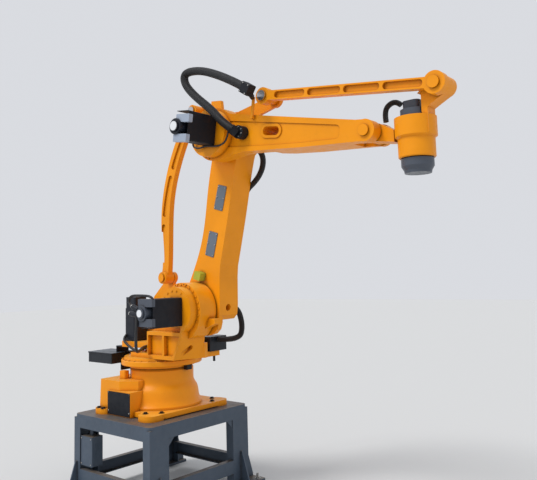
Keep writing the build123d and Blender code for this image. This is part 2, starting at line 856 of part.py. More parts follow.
# Upper arm
k = fore_len / 1300.0
body_top = [(150 * k, 150), (380 * k, 130), (840 * k, 95), (1230 * k, 66)]
body_low = [(1230 * k, -72), (830 * k, -102), (590 * k, -114), (300 * k, -130)]
with BuildPart() as upper_arm:
    with BuildSketch(side(elbow_x, elbow_back, elbow_z, -fore_droop)):
        Circle(elbow_r)
        with BuildLine():
            Polyline(
                (0, 190),
                *body_top,
                (fore_len, 68),
                (fore_len, -68),
                *body_low,
                (60 * k, -190),
                (0, -196),
                close=True,
            )
        make_face()
        with Locations((fore_len, 0)):
            Circle(tip_r)
    extrude(amount=elbow_back - fore_front)
    with BuildSketch(side(elbow_x, fore_back, elbow_z, -fore_droop)):
        with BuildLine():
            Polyline(
                (fore_back_start, 118),
                (840 * k, 94),
                (fore_len, 68),
                (fore_len, -68),
                (1230 * k, -72),
                (830 * k, -102),
                (590 * k, -113),
                (fore_back_start, -112),
                close=True,
            )
        make_face()
        with Locations((fore_len, 0)):
            Circle(tip_r)
    extrude(amount=fore_back - elbow_back)
    # Slot for the wrist lug
    with BuildSketch(side(elbow_x, lug_half + side_gap, elbow_z, -fore_droop)):
        with Locations((fore_len, 0)):
            Rectangle(240, 240)
    extrude(amount=2 * (lug_half + side_gap), mode=Mode.SUBTRACT)
    cut_y(wrist_x, wrist_z, wrist_pin_r + pin_fit, fore_front, fore_back)
    # Recessed panel between the top rail and the lower edge
    with BuildSketch(side(elbow_x, fore_front + panel_depth, elbow_z, -fore_droop)) as panel:
        with BuildLine():
            Polyline(
                (120 * k, 98),
                (840 * k, 56),
                (1120 * k, 38),
                (1120 * k, -50),
                (830 * k, -72),
                (590 * k, -84),
                (340 * k, -92),
                (120 * k, -98),
                close=True,
            )
        make_face()
        fillet(panel.vertices().group_by(Axis.X)[-1], rail_round)
        with Locations((548 * k, 14)):
            SlotOverall(185, 98, mode=Mode.SUBTRACT)
    extrude(amount=40, mode=Mode.SUBTRACT)
    with BuildSketch(side(elbow_x, fore_back, elbow_z, -fore_droop)):
        with Locations((548 * k, 14)):
            SlotOverall(145, 62)
    extrude(amount=fore_back - fore_front, mode=Mode.SUBTRACT)
    cyl_y(elbow_x, elbow_z, elbow_hub_r, elbow_hub_front, fore_front + panel_depth)
    cyl_y(elbow_x, elbow_z, shaft3_r + 24, elbow_back, rocker_front - side_gap)
    cyl_y(elbow_x, elbow_z, shaft3_r, elbow_back, arm_front + head_recess + seat_depth)
save(upper_arm, "upper_arm_casting")

# Third axis motor, flange and guard
guard3_l = 270.0
with BuildPart() as guard3:
    with BuildSketch(side(elbow_x, elbow_hub_front, elbow_z, -fore_droop)):
        with Locations((-3, 12)):
            RectangleRounded(176, 212, 12)
            RectangleRounded(168, 204, 8, mode=Mode.SUBTRACT)
        with Locations((-guard_open - 50, 12)):
            Rectangle(100, 240, mode=Mode.SUBTRACT)
    extrude(amount=guard3_l)
save(guard3, "axis3_motor_guard")

motor3_r = 56.0
with BuildPart() as flange3:
    with BuildSketch(side(elbow_x, elbow_hub_front - guard3_l, elbow_z, -fore_droop)):
        with Locations((61, 58), (46, -81)):
            RectangleRounded(132, 56, 5)
    extrude(amount=end_block + 5)
    cut_y(elbow_x, elbow_z, motor3_r, elbow_hub_front - guard3_l - end_block - 5, elbow_hub_front - guard3_l)
save(flange3, "axis3_motor_flange")

motor3_end = elbow_hub_front - guard3_l - end_block - 27
with BuildPart() as motor3:
    cyl_y(elbow_x, elbow_z, motor3_r, motor3_end + 12, elbow_hub_front)
    cyl_y(elbow_x, elbow_z, 38, motor3_end, motor3_end + 12)
save(motor3, "axis3_motor")

# Dress hose
hose_y = -300.0
hose_r = 30.0
clamp = near(elbow, 285, -37)
clamp_front = fore_front - 55.0
hose_points = [
    near(elbow, 440, 236),
    near(elbow, 350, 295),
    near(elbow, 160, 396),
    near(elbow, 0, 458),
    near(elbow, -157, 474),
    near(elbow, -157, 388),
    near(elbow, -50, 274),
    near(elbow, 124, 138),
    near(elbow, 218, 36),
]
with BuildPart() as dress_hose:
    dress_line = hose(
        [(x, hose_y, z) for x, z in hose_points] + [(clamp[0] - 33, clamp_front - 33, clamp[1] + 25)],
        hose_r,
        [300, 300, 300, 55, 55, 200, 300, 60],
    )
save(dress_hose, "dress_hose")


# Hose clamps, and the post that holds the upper end
post_front = fore_front - 28.0
post_x = 383.0
with BuildPart() as clamps:
    cyl_y(clamp[0], clamp[1], 48, clamp_front, fore_front + panel_depth)
    with BuildSketch(Plane(origin=dress_line @ 1, z_dir=dress_line % 1)):
        Circle(hose_r + 6)
    extrude(amount=50)
    with BuildSketch(Plane(origin=dress_line @ 0, x_dir=(0, 1, 0), z_dir=-(dress_line % 0))):
        RectangleRounded(2 * hose_r + 8, 2 * hose_r + 20, 8)
    extrude(amount=76)
    with BuildSketch(Plane.XY.offset(elbow_z + 178)):
        with BuildLine():
            Polyline(
                (elbow_x + 398, post_front),
                (elbow_x + 428, post_front),
                (elbow_x + 500, hose_y),
                (elbow_x + 470, hose_y),
                close=True,
            )
        make_face()
    extrude(amount=26)
save(clamps, "hose_clamps")

with BuildPart() as post:
    with BuildSketch(side(elbow_x, post_front + 14, elbow_z, -fore_droop)):
        with Locations((post_x, 178)):
            Rectangle(18, 150)
    extrude(amount=14)
    with BuildSketch(side(elbow_x, fore_front, elbow_z, -fore_droop)):
        with Locations((post_x, 109)):
            Rectangle(18, 18)
    extrude(amount=14)
save(post, "hose_post")

# Upper rod, an I-section with pockets between rounded webs
rod_web = fore_len * 0.2195
with BuildPart() as rod:
    with BuildSketch(side(pin_c[0], rod_back, pin_c[1], -fore_droop)):
        Circle(rod_eye_r)
        with Locations((fore_len, 0)):
            Circle(rod_eye_r + 8)
        with Locations((fore_len / 2, 0)):
            Rectangle(fore_len, rod_h)
    extrude(amount=rod_back - rod_front)
    for y0 in (rod_front + 20, rod_back):
        with BuildSketch(side(pin_c[0], y0, pin_c[1], -fore_droop)):
            with Locations([(fore_len * 0.076 + rod_web * (n + 0.5), 0) for n in range(4)]):
                RectangleRounded(rod_web - 22, rod_h - 20, 22)
        extrude(amount=20, mode=Mode.SUBTRACT)
    cut_y(pin_c[0], pin_c[1], pin_r + pin_fit, rod_front, rod_back)
    cut_y(pin_d[0], pin_d[1], pin_r + pin_fit, rod_front, rod_back)
save(rod, "upper_rod")

# Wrist
rim_z = wrist_z + bucket_top
step_z = wrist_z + bucket_step
low_z = wrist_z + bucket_low
spigot_r = 60.0
with BuildPart() as wrist:
    with BuildSketch(Plane(origin=(tool_axis_x, 0, 0), x_dir=(1, 0, 0), z_dir=(0, -1, 0))):
        with BuildLine():
            Polyline(
                (0, low_z + 45),
                (spigot_r + pin_fit, low_z + 45),
                (spigot_r + pin_fit, low_z),
                (bucket_low_r - 6, low_z),
                (bucket_low_r, low_z + 6),
                (bucket_low_r, step_z - 6),
                (bucket_r, step_z + 6),
                (bucket_r, rim_z),
                (bucket_r - bucket_wall, rim_z),
                (bucket_r - bucket_wall, step_z + 20),
                (0, step_z + 20),
                close=True,
            )
        make_face()
    revolve(axis=Axis((tool_axis_x, 0, 0), (0, 0, 1)))
    slab_y(
        [
            (tool_axis_x + 60, step_z + 10),
            (tool_axis_x + 78, rim_z + 10),
            (tool_axis_x + 42, rim_z + 60),
            (tool_axis_x + 40, rim_z + 120),
            near(pin_d, -90, 20),
            near(pin_d, -40, 52),
            near(pin_d, 20, -58),
            near(pin_d, -60, -100),
            (tool_axis_x + 114, rim_z + 40),
            (tool_axis_x + 114, step_z + 10),
        ],
        rod_back + side_gap + 10,
        36,
    )
    cyl_y(pin_d[0], pin_d[1], 62, rod_back + side_gap, 36)
    cyl_y(pin_d[0], pin_d[1], pin_r, rod_front - pin_cap, rod_back + side_gap)
    cyl_y(pin_d[0], pin_d[1], pin_cap_r, rod_front - 2 * pin_cap, rod_front - pin_cap)
    slab_y(
        [
            near((wrist_x, wrist_z), 0, lug_half),
            near((wrist_x, wrist_z), 60, 44),
            (tool_axis_x - bucket_r + 10, wrist_z - 10),
            (tool_axis_x - bucket_r + 10, step_z - 12),
            near((wrist_x, wrist_z), 50, -66),
            near((wrist_x, wrist_z), 0, -lug_half),
        ],
        -lug_half,
        lug_half,
    )
    cyl_y(wrist_x, wrist_z, lug_half + 2, -lug_half, lug_half)
    cyl_y(wrist_x, wrist_z, wrist_pin_r, fore_front - pin_cap, fore_back + pin_cap)
    cyl_y(wrist_x, wrist_z, wrist_pin_r + 10, fore_front - 2 * pin_cap, fore_front - pin_cap)
    # Motor pocket in the neck
    cut_z0 = step_z + 20
    with BuildSketch(Plane.XY.offset(cut_z0)):
        with Locations((tool_axis_x, 0)):
            Circle(bucket_r - bucket_wall - 14)
    extrude(amount=bucket_top - bucket_step + 110, mode=Mode.SUBTRACT)
save(wrist, "wrist_housing")

motor4_r = 88.0
with BuildPart() as motor4:
    with BuildSketch(Plane.XY.offset(step_z + 20)):
        with Locations((tool_axis_x, 0)):
            Circle(motor4_r)
    extrude(amount=rim_z + 50 - step_z - 20)
    with BuildSketch(Plane.XY.offset(rim_z + 50)):
        with Locations((tool_axis_x - 6, 0)):
            RectangleRounded(110, 110, 30)
    extrude(amount=54)
save(motor4, "wrist_motor")

# Loop of hose beside the wrist motor
with BuildPart() as wrist_hose:
    hose(
        [
            (tool_axis_x - 72, -36, rim_z + 90),
            (tool_axis_x - 105, -36, rim_z + 122),
            (tool_axis_x - 170, -36, rim_z + 98),
            (tool_axis_x - 184, -36, rim_z + 44),
            (tool_axis_x - 178, -36, rim_z + 2),
        ],
        17,
        [46, 46, 100],
    )
save(wrist_hose, "wrist_hose")

with BuildPart() as tool_flange:
    with BuildSketch(Plane(origin=(tool_axis_x, 0, 0), x_dir=(1, 0, 0), z_dir=(0, -1, 0))):
        with BuildLine():
            Polyline(
                (0, wrist_z + flange_drop),
                (flange_r - 18, wrist_z + flange_drop),
                (flange_r - 15, wrist_z + flange_drop + 16),
                (flange_r, wrist_z + flange_drop + 42),
                (flange_r, low_z - 5),
                (spigot_r, low_z - 5),
                (spigot_r, low_z + 40),
                (0, low_z + 40),
                close=True,
            )
        make_face()
    revolve(axis=Axis((tool_axis_x, 0, 0), (0, 0, 1)))
    with BuildSketch(Plane.XY.offset(wrist_z + flange_drop)):
        with Locations((tool_axis_x, 0)):
            with PolarLocations(tool_bolt_r, 6):
                Circle(5)
    extrude(amount=18, mode=Mode.SUBTRACT)
save(tool_flange, "tool_flange")
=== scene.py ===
import json
import math

import bmesh
import bpy
from mathutils import Matrix, Vector


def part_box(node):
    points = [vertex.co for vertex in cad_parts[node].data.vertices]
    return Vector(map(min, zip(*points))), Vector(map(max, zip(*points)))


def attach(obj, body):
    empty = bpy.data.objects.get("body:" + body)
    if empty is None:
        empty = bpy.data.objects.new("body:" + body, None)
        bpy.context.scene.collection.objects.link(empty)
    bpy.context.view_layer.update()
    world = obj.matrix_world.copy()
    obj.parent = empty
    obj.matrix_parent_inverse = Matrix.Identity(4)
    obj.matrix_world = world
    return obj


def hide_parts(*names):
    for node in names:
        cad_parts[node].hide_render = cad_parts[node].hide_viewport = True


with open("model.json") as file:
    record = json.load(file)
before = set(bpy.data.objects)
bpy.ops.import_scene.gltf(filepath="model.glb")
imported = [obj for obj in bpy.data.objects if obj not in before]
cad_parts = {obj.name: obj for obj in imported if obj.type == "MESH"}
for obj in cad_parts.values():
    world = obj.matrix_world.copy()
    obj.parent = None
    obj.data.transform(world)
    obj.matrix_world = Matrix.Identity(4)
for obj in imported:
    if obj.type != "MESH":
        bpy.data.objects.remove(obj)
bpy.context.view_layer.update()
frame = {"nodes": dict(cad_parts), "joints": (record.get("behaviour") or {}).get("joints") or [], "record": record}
nodes = frame["nodes"]
record = frame["record"]

UP = (0, 0, 1)
FRONT = (0, -1, 0)
FULL_TURN = 360.0


# Axes of the arm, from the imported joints
def side_view(joint_name):
    """(x, z) of a joint in metres."""
    place = joint_places[joint_name]
    return (place[0], place[2])


joint_places = {joint["name"]: joint["pos_m"] for joint in frame["joints"]}
AXIS2 = side_view("axis2_lower_arm")
ELBOW = side_view("axis3_upper_arm")
WRIST = side_view("wrist_pivot")
LINK_PIN = side_view("curved_link_pivot")
TOOL_X = joint_places["axis4_flange"][0]
ARM_LENGTH = math.dist(AXIS2, ELBOW)
ARM_ANGLE = math.atan2(ELBOW[1] - AXIS2[1], ELBOW[0] - AXIS2[0])
HOSE_HEAD_ANGLE = math.radians(-30)

# Faces and levels that small pieces sit on, in metres
FOOT_PLATE_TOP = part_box("stand_foot_plates")[1].z
JUNCTION_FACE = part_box("stand_junction_box")[0].y
COVER_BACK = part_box("base_connector_cover")[1].y
MOTOR2_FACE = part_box("axis2_motor")[0].y
MOTOR3_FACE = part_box("axis3_motor")[0].y
HUB_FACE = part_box("axis2_motor_guard")[1].y
CLAMP_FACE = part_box("hose_clamps")[0].y
PANEL_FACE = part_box("lower_arm_covers")[0].y
BASE_FOOT_TOP = 0.652
RING_TOP = 1.014
DRUM_FACE = -0.165
ELBOW_FACE = -0.150
HOSE_FLANGE_FACE = -0.205
LINK_PIN_FACE = -0.106

# Radii of round bolt heads, in metres
SCREW_RADIUS = 0.005
COVER_SCREW_RADIUS = 0.006
RING_BOLT_RADIUS = 0.0065
BOLT_RADIUS = 0.007

# Scales of the noise in the finishes, per metre, the ranges that show, and relief heights in metres
TONE_SCALE = 3.5
DUST_SCALE = 9.0
SPOT_SCALE = 16.0
GLOSS_SCALE = 22.0
STEEL_SCALE = 60.0
GRAIN_SCALE = 90.0
GRAIN_HEIGHT = 0.001
STEEL_GRAIN_HEIGHT = 0.0006
MIDDLE_NOISE = (0.3, 0.7)
SPOT_NOISE = (0.6, 0.78)
DUST_NOISE = (0.3, 0.62)
UPWARD_NORMAL = (0.6, 0.95)
CORNER_SHADE = (0.35, 0.9)
CORNER_REACH = 0.03
CORNER_SAMPLES = 6
HOSE_RIBS = 70.0
HOSE_RIB_HEIGHT = 0.004


# Materials
def shader(name, color, rough=0.5, metal=0.0, coat=0.0, shine=0.5):
    """New material with one plain shader; returns the material, its tree and its shader."""
    material = bpy.data.materials.new(name)
    material.use_nodes = True
    tree = material.node_tree
    bsdf = tree.nodes["Principled BSDF"]
    bsdf.inputs["Base Color"].default_value = (*color, 1)
    bsdf.inputs["Roughness"].default_value = rough
    bsdf.inputs["Metallic"].default_value = metal
    bsdf.inputs["Coat Weight"].default_value = coat
    bsdf.inputs["Specular IOR Level"].default_value = shine
    return material, tree, bsdf


def noise(tree, scale, detail=4.0, rough=0.55, stretch=None):
    """Noise in object space; returns its factor socket."""
    texture = tree.nodes.new("ShaderNodeTexNoise")
    texture.inputs["Scale"].default_value = scale
    texture.inputs["Detail"].default_value = detail
    texture.inputs["Roughness"].default_value = rough
    place = tree.nodes.new("ShaderNodeTexCoord").outputs["Object"]
    if stretch:
        mapping = tree.nodes.new("ShaderNodeMapping")
        mapping.inputs["Scale"].default_value = stretch
        tree.links.new(place, mapping.inputs["Vector"])
        place = mapping.outputs["Vector"]
    tree.links.new(place, texture.inputs["Vector"])
    return texture.outputs["Fac"]


def ramp(tree, source, low, high, a=0.0, b=1.0):
    """Maps a factor from low..high to a..b, clamped."""
    node = tree.nodes.new("ShaderNodeMapRange")
    node.inputs["From Min"].default_value = low
    node.inputs["From Max"].default_value = high
    node.inputs["To Min"].default_value = a
    node.inputs["To Max"].default_value = b
    tree.links.new(source, node.inputs["Value"])
    return node.outputs["Result"]


def blend(tree, factor, a, b):
    """Mix of two colours; a or b may be a socket."""
    mix = tree.nodes.new("ShaderNodeMix")
    mix.data_type = "RGBA"
    tree.links.new(factor, mix.inputs["Factor"])
    for value, socket in ((a, mix.inputs["A"]), (b, mix.inputs["B"])):
        if isinstance(value, tuple):
            socket.default_value = (*value, 1)
        else:
            tree.links.new(value, socket)
    return mix.outputs["Result"]


def times(tree, a, b):
    """Product of two factors; either may be a plain number."""
    node = tree.nodes.new("ShaderNodeMath")
    node.operation = "MULTIPLY"
    for value, socket in ((a, node.inputs[0]), (b, node.inputs[1])):
        if isinstance(value, float):
            socket.default_value = value
        else:
            tree.links.new(value, socket)
    return node.outputs["Value"]


def darker(color, share):
    """The colour times a share."""
    return tuple(share * channel for channel in color)


def up_facing(tree):
    """1 on faces that look upwards."""
    geometry = tree.nodes.new("ShaderNodeNewGeometry")
    split = tree.nodes.new("ShaderNodeSeparateXYZ")
    tree.links.new(geometry.outputs["Normal"], split.inputs["Vector"])
    return ramp(tree, split.outputs["Z"], *UPWARD_NORMAL)


def shaded_corners(tree):
    """1 in tight inner corners, where the ambient occlusion finds shade; the mask for painted shade."""
    occlusion = tree.nodes.new("ShaderNodeAmbientOcclusion")
    occlusion.inputs["Distance"].default_value = CORNER_REACH
    occlusion.samples = CORNER_SAMPLES
    return ramp(tree, occlusion.outputs["AO"], *CORNER_SHADE, 1.0, 0.0)


def bumps(tree, bsdf, source, strength, distance):
    """Relief on the shader from a factor."""
    bump = tree.nodes.new("ShaderNodeBump")
    bump.inputs["Strength"].default_value = strength
    bump.inputs["Distance"].default_value = distance
    tree.links.new(source, bump.inputs["Height"])
    tree.links.new(bump.outputs["Normal"], bsdf.inputs["Normal"])


def painted(name, color, rough, corner_shade_color, dust, wear, coat=0.1, shine=0.5):
    """Paint with a faint cast grain, uneven tone, painted shade in corners and dust on top faces."""
    material, tree, bsdf = shader(name, color, rough, 0.0, coat, shine)
    tone = ramp(tree, noise(tree, TONE_SCALE, 5.0), *MIDDLE_NOISE)
    surface = blend(tree, tone, darker(color, 0.86), color)
    spots = times(tree, ramp(tree, noise(tree, SPOT_SCALE, 8.0, 0.7), *SPOT_NOISE), wear)
    surface = blend(tree, spots, surface, darker(color, 0.55))
    # Painted shade: the colour goes darker in tight corners where the ambient occlusion finds shade
    surface = blend(tree, times(tree, shaded_corners(tree), 0.75), surface, corner_shade_color)
    if dust:
        patchy = ramp(tree, noise(tree, DUST_SCALE, 6.0, 0.65), *DUST_NOISE, 0.25, 1.0)
        surface = blend(tree, times(tree, up_facing(tree), patchy), surface, dust)
    tree.links.new(surface, bsdf.inputs["Base Color"])
    gloss = ramp(tree, noise(tree, GLOSS_SCALE), *MIDDLE_NOISE, rough - 0.06, rough + 0.14)
    tree.links.new(gloss, bsdf.inputs["Roughness"])
    bumps(tree, bsdf, noise(tree, GRAIN_SCALE, 3.0), 0.12, GRAIN_HEIGHT)
    return material


def ribbed(name, color, rough):
    """Corrugated hose, with painted shade in the grooves between the ribs; the rings follow the curve's length."""
    material, tree, bsdf = shader(name, color, rough)
    wave = tree.nodes.new("ShaderNodeTexWave")
    wave.bands_direction = "X"
    wave.inputs["Scale"].default_value = HOSE_RIBS
    along = tree.nodes.new("ShaderNodeTexCoord").outputs["UV"]
    tree.links.new(along, wave.inputs["Vector"])
    # Painted shade: the grooves between the ribs are darkened to half the hose colour
    surface = blend(tree, wave.outputs["Fac"], darker(color, 0.5), color)
    tree.links.new(surface, bsdf.inputs["Base Color"])
    bumps(tree, bsdf, wave.outputs["Fac"], 0.8, HOSE_RIB_HEIGHT)
    return material


def polished(name, color, rough):
    """Turned steel with a fine grain across its length."""
    material, tree, bsdf = shader(name, color, rough, 1.0)
    grain = noise(tree, STEEL_SCALE, 3.0, 0.5, (1, 1, 6))
    bumps(tree, bsdf, grain, 0.08, STEEL_GRAIN_HEIGHT)
    return material


PAINTS = {
    "orange_paint": {
        "color": (0.93, 0.325, 0.003), "rough": 0.38, "corner_shade_color": (0.20, 0.055, 0.004),
        "dust": (0.86, 0.43, 0.06), "wear": 0.2, "coat": 0.0, "shine": 0.25,
    },
    "stand_paint": {
        "color": (0.054, 0.078, 0.112), "rough": 0.52, "corner_shade_color": (0.03, 0.025, 0.02),
        "dust": (0.14, 0.105, 0.075), "wear": 0.6,
    },
    "motor_black": {
        "color": (0.008, 0.011, 0.019), "rough": 0.46, "corner_shade_color": (0.006, 0.006, 0.008),
        "dust": (0.03, 0.033, 0.042), "wear": 0.5, "shine": 0.3,
    },
    "guard_black": {
        "color": (0.006, 0.008, 0.013), "rough": 0.55, "corner_shade_color": (0.004, 0.004, 0.005),
        "dust": (0.02, 0.022, 0.028), "wear": 0.4, "coat": 0.0, "shine": 0.3,
    },
    "flange_grey": {
        "color": (0.062, 0.075, 0.100), "rough": 0.4, "corner_shade_color": (0.012, 0.012, 0.014),
        "dust": (0.09, 0.09, 0.1), "wear": 0.4,
    },
    "light_grey": {
        "color": (0.36, 0.42, 0.52), "rough": 0.45, "corner_shade_color": (0.08, 0.08, 0.09), "dust": None, "wear": 0.3,
    },
    "tray_black": {
        "color": (0.008, 0.011, 0.017), "rough": 0.42, "corner_shade_color": (0.006, 0.006, 0.008),
        "dust": (0.10, 0.11, 0.13), "wear": 0.4, "shine": 0.3,
    },
    "cover_grey": {
        "color": (0.13, 0.16, 0.20), "rough": 0.5, "corner_shade_color": (0.05, 0.05, 0.04), "dust": None, "wear": 0.4,
    },
    "bumper_yellow": {
        "color": (0.42, 0.46, 0.03), "rough": 0.55, "corner_shade_color": (0.1, 0.1, 0.02), "dust": None, "wear": 0.3,
    },
    "hose_black": {
        "color": (0.012, 0.012, 0.014), "rough": 0.55, "corner_shade_color": (0.008, 0.008, 0.008),
        "dust": (0.04, 0.04, 0.042), "wear": 0.2,
    },
}
materials = {name: painted(name, **look) for name, look in PAINTS.items()}
materials["pin_steel"] = polished("pin_steel", (0.62, 0.62, 0.64), 0.28)
materials["zinc"] = shader("zinc", (0.45, 0.44, 0.42), 0.38, 1.0)[0]
materials["black_bolt"] = shader("black_bolt", (0.02, 0.02, 0.022), 0.45, 0.6)[0]
# Near-black material for discs of painted shade that stand where holes are
materials["painted_hole_shade"] = shader("painted_hole_shade", (0.006, 0.006, 0.007), 0.7)[0]
materials["white_plastic"] = shader("white_plastic", (0.78, 0.80, 0.82), 0.4)[0]
materials["corrugated"] = ribbed("corrugated", (0.016, 0.016, 0.018), 0.5)

for entry in record["subparts"]:
    node_materials = nodes[entry["node"]].data.materials
    node_materials.clear()
    node_materials.append(materials[entry["material_slot"]])

# Soft cast edges on the painted pieces, by width in metres
EDGE_WIDTHS = {
    "base_casting": 0.006, "turret_casting": 0.005, "lower_arm_casting": 0.008, "curved_link": 0.003,
    "rocker_plate": 0.004, "upper_arm_casting": 0.006, "upper_rod": 0.003, "wrist_housing": 0.004,
    "axis1_motor": 0.003, "axis2_motor": 0.003, "axis3_motor_flange": 0.003, "wrist_motor": 0.005,
    "rear_cable_tray": 0.003, "front_cable_box": 0.003, "stand_junction_box": 0.003,
    "lower_arm_bumper": 0.004,
}
SHARP_ANGLE = math.radians(38)
for name, width in EDGE_WIDTHS.items():
    bevel = nodes[name].modifiers.new("edge", "BEVEL")
    bevel.width = width
    bevel.segments = 2
    bevel.limit_method = "ANGLE"
    bevel.angle_limit = SHARP_ANGLE
    bevel.harden_normals = True


# Makers of small pieces
def add_piece(name, data, material, body):
    """New object from a mesh or a curve, which rides on a body."""
    piece = bpy.data.objects.new(name, data)
    bpy.context.scene.collection.objects.link(piece)
    data.materials.append(materials[material])
    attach(piece, body)
    return piece


def finish_mesh(bm, name, body, material):
    """Turns the collected faces into one piece."""
    mesh = bpy.data.meshes.new(name)
    bm.to_mesh(mesh)
    bm.free()
    add_piece(name, mesh, material, body)


def add_round(bm, at, axis, radius, height, sides, top=None):
    """Closed cylinder, or cone with another radius at its top, from a point along an axis."""
    turn = Vector(UP).rotation_difference(Vector(axis).normalized()).to_matrix().to_4x4()
    place = Matrix.Translation(Vector(at)) @ turn @ Matrix.Translation((0, 0, height / 2))
    bmesh.ops.create_cone(
        bm,
        cap_ends=True,
        segments=sides,
        radius1=radius,
        radius2=radius if top is None else top,
        depth=height,
        matrix=place,
    )


def rounds(name, body, material, sides, shapes):
    """Plain discs or cylinders as one piece; each is a place, an axis, a radius and a height."""
    bm = bmesh.new()
    for at, axis, radius, height in shapes:
        add_round(bm, at, axis, radius, height, sides)
    finish_mesh(bm, name, body, material)


def hex_bolts(name, body, places, axis, size, material, washer):
    """Hex heads on washers; size is the head's radius, and washer the washer's share of it."""
    out = Vector(axis)
    washer_height = 0.16 * size
    head_height = 0.62 * size
    bm = bmesh.new()
    for place in places:
        at = Vector(place)
        add_round(bm, at, axis, size * washer, washer_height, 20)
        add_round(bm, at + out * washer_height, axis, size, head_height, 6)
        crown = at + out * (washer_height + head_height)
        add_round(bm, crown, axis, size * 0.84, size * 0.1, 12, size * 0.6)
    finish_mesh(bm, name, body, material)


def round_bolts(name, body, places, axis, radius, material):
    """Round heads with a chamfered rim."""
    out = Vector(axis)
    head_height = 0.8 * radius
    bm = bmesh.new()
    for place in places:
        at = Vector(place)
        add_round(bm, at, axis, radius, head_height, 20)
        add_round(bm, at + out * head_height, axis, radius * 0.96, radius * 0.12, 20, radius * 0.8)
    finish_mesh(bm, name, body, material)


def add_box(bm, x, y, z):
    """Box between limits, each given as a (low, high) pair."""
    size = Matrix.Diagonal((x[1] - x[0], y[1] - y[0], z[1] - z[0], 1))
    middle = Matrix.Translation(((x[0] + x[1]) / 2, (y[0] + y[1]) / 2, (z[0] + z[1]) / 2))
    bmesh.ops.create_cube(bm, size=1, matrix=middle @ size)


def circle(center, axis_name, radius, count, start=0.0, sweep=FULL_TURN):
    """Points on a circle or an arc about the y or z axis, with angles in degrees."""
    x, y, z = center
    steps = count if sweep >= FULL_TURN else count - 1
    points = []
    for i in range(count):
        angle = math.radians(start + sweep * i / steps)
        across = radius * math.cos(angle)
        along = radius * math.sin(angle)
        points.append((x + across, y, z + along) if axis_name == "y" else (x + across, y + along, z))
    return points


def beside(point, dx, dz, y):
    """Point at an offset from an axis in the side view."""
    return (point[0] + dx, y, point[1] + dz)


def in_frame(origin, angle, s, t, y):
    """Point from side-view coordinates in a turned frame."""
    dx = s * math.cos(angle) - t * math.sin(angle)
    dz = s * math.sin(angle) + t * math.cos(angle)
    return (origin[0] + dx, y, origin[1] + dz)


def cable(name, points, radius, body, material="hose_black", node=None):
    """Smooth round cable or hose on a NURBS route; it stands for a CAD node when one is named."""
    curve = bpy.data.curves.new(name, "CURVE")
    curve.dimensions = "3D"
    spline = curve.splines.new("NURBS")
    spline.points.add(len(points) - 1)
    for point, place in zip(spline.points, points):
        point.co = (*place, 1)
    spline.order_u = 3
    spline.use_endpoint_u = True
    spline.resolution_u = 12
    curve.bevel_depth = radius
    curve.bevel_resolution = 6
    curve.use_fill_caps = True
    piece = add_piece(name, curve, material, body)
    if node:
        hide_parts(node)


# Hoses that the arms carry, on the routes of their CAD tubes
DRESS_HOSE_Y = -0.300
LOWER_HOSE_Y = 0.234
LOWER_SOCKET_Y = 0.150
FRONT_HOSE_Y = 0.310
WRIST_HOSE_Y = -0.036
dress_route = [
    beside(ELBOW, dx, dz, DRESS_HOSE_Y)
    for dx, dz in (
        (0.440, 0.236),
        (0.350, 0.295),
        (0.160, 0.396),
        (0.0, 0.458),
        (-0.157, 0.474),
        (-0.157, 0.388),
        (-0.050, 0.274),
        (0.124, 0.138),
        (0.218, 0.036),
    )
]
dress_route.append(beside(ELBOW, 0.252, -0.012, -0.238))
cable("dress_hose_skin", dress_route, 0.030, "upper_arm", "corrugated", "dress_hose")

lower_arm_route = [
    in_frame(AXIS2, ARM_ANGLE, 0.060, 0, LOWER_HOSE_Y),
    in_frame(AXIS2, ARM_ANGLE, 0.667 * ARM_LENGTH, 0, LOWER_HOSE_Y),
    beside(ELBOW, 0.120, -0.290, LOWER_HOSE_Y),
    in_frame(ELBOW, HOSE_HEAD_ANGLE, 0.262, 0, LOWER_SOCKET_Y),
    in_frame(ELBOW, HOSE_HEAD_ANGLE, 0.156, 0, LOWER_SOCKET_Y),
]
cable("lower_arm_hose_skin", lower_arm_route, 0.022, "lower_arm", "corrugated", "lower_arm_hose")

front_route = [
    (0.340, FRONT_HOSE_Y, 1.140),
    (0.575, FRONT_HOSE_Y, 1.140),
    (0.615, FRONT_HOSE_Y, 1.262),
    (0.560, FRONT_HOSE_Y, AXIS2[1]),
    (AXIS2[0], FRONT_HOSE_Y, AXIS2[1]),
    (AXIS2[0], 0.236, AXIS2[1]),
]
cable("front_hose_skin", front_route, 0.022, "turret", "corrugated", "front_hose")

wrist_route = [
    (TOOL_X + dx, WRIST_HOSE_Y, WRIST[1] + dz)
    for dx, dz in ((-0.072, 0.140), (-0.105, 0.172), (-0.170, 0.148), (-0.184, 0.094), (-0.178, 0.052))
]
cable("wrist_hose_skin", wrist_route, 0.017, "wrist", "corrugated", "wrist_hose")

# Thin motor cables, which have no CAD node
axis2_cable_route = [
    (0.378, -0.548, 1.375),
    (0.368, -0.550, 1.250),
    (0.368, -0.550, 1.130),
    (0.220, -0.400, 1.116),
    (0.080, -0.250, 1.126),
    (0.050, -0.150, 1.125),
]
cable("axis2_cable", axis2_cable_route, 0.011, "turret")

axis1_cable_route = [
    (-0.240, -0.165, 1.200),
    (-0.240, -0.215, 1.165),
    (-0.130, -0.222, 1.108),
    (-0.040, -0.222, 1.080),
    (0.020, -0.225, 1.094),
    (0.040, -0.150, 1.120),
]
cable("axis1_cable", axis1_cable_route, 0.010, "turret")

plug_cable_route = [
    (0.322, -0.548, 1.452),
    (0.280, -0.548, 1.472),
    (0.295, -0.545, 1.528),
    (0.400, -0.540, 1.530),
    (0.525, -0.530, 1.524),
    (0.528, -0.525, 1.498),
]
cable("axis2_plug_cable", plug_cable_route, 0.009, "turret")

